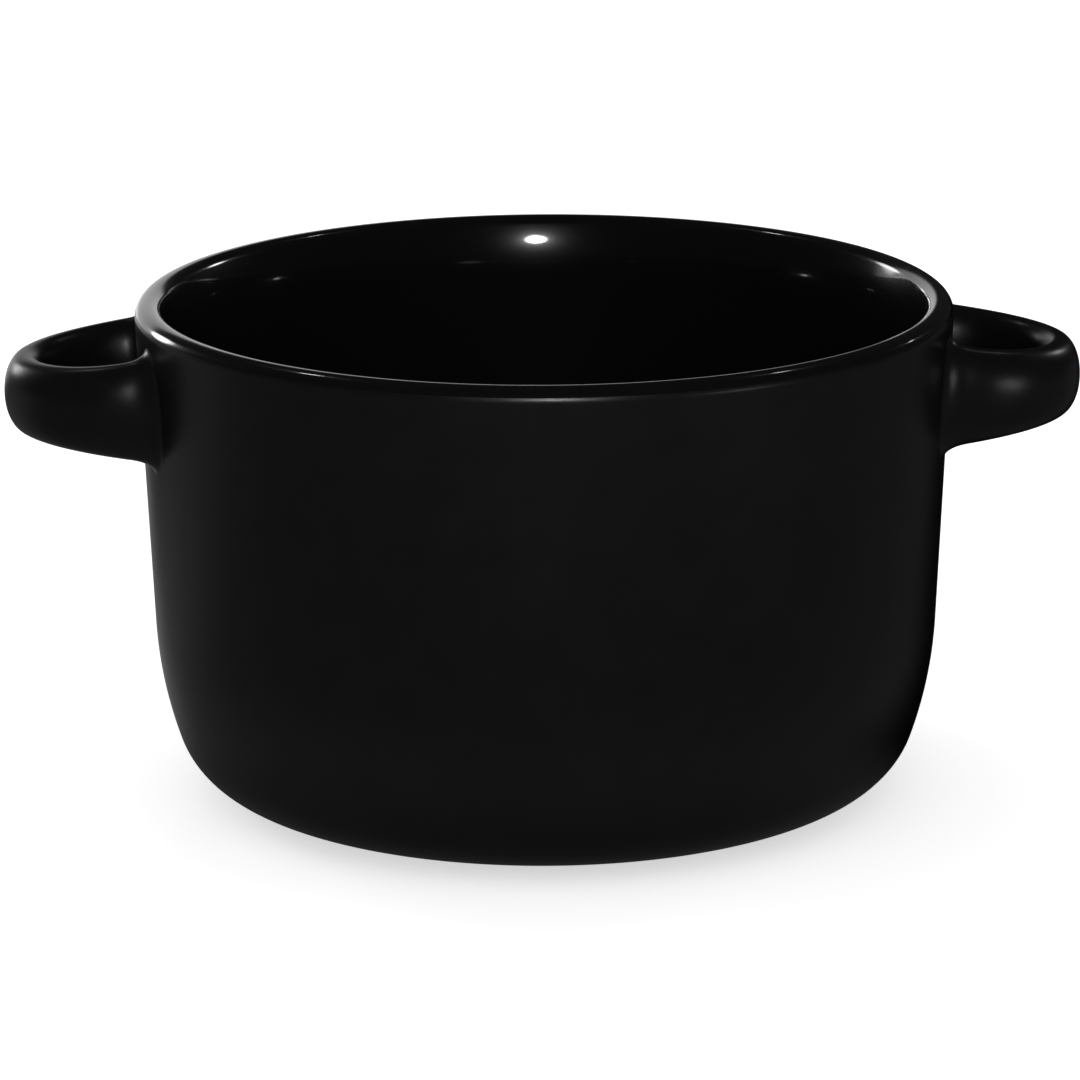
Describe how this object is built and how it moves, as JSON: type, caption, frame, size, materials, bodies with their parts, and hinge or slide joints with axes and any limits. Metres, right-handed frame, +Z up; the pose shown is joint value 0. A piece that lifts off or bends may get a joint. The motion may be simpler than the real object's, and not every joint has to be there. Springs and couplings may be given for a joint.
{
  "type": "soup crock",
  "caption": "Round stoneware soup crock with a gloss-lined bowl, a matte outer wall and looped strap handles on both sides, free-standing on a bare foot ring.",
  "frame": {"origin": "centre of the foot ring, on the table", "axes": "+Z up along the bowl's axis, +X through the right handle, the front faces -Y"},
  "size_m": [0.1586, 0.12, 0.0738],
  "materials": {
    "bare_stoneware": "bare fired stoneware, dry and slightly rough",
    "gloss_black_glaze": "gloss black glaze, smooth as glass",
    "matte_black_glaze": "satin-matte black glaze"
  },
  "bodies": {
    "root": {"stoneware_body": "bare_stoneware", "gloss_lining_glaze": "gloss_black_glaze", "matte_wall_glaze": "matte_black_glaze", "matte_base_glaze": "matte_black_glaze", "left_handle": "bare_stoneware", "right_handle": "bare_stoneware", "left_handle_glaze": "matte_black_glaze", "right_handle_glaze": "matte_black_glaze", "left_handle_slip_joints": "matte_black_glaze", "right_handle_slip_joints": "matte_black_glaze"}
  },
  "joints": []
}
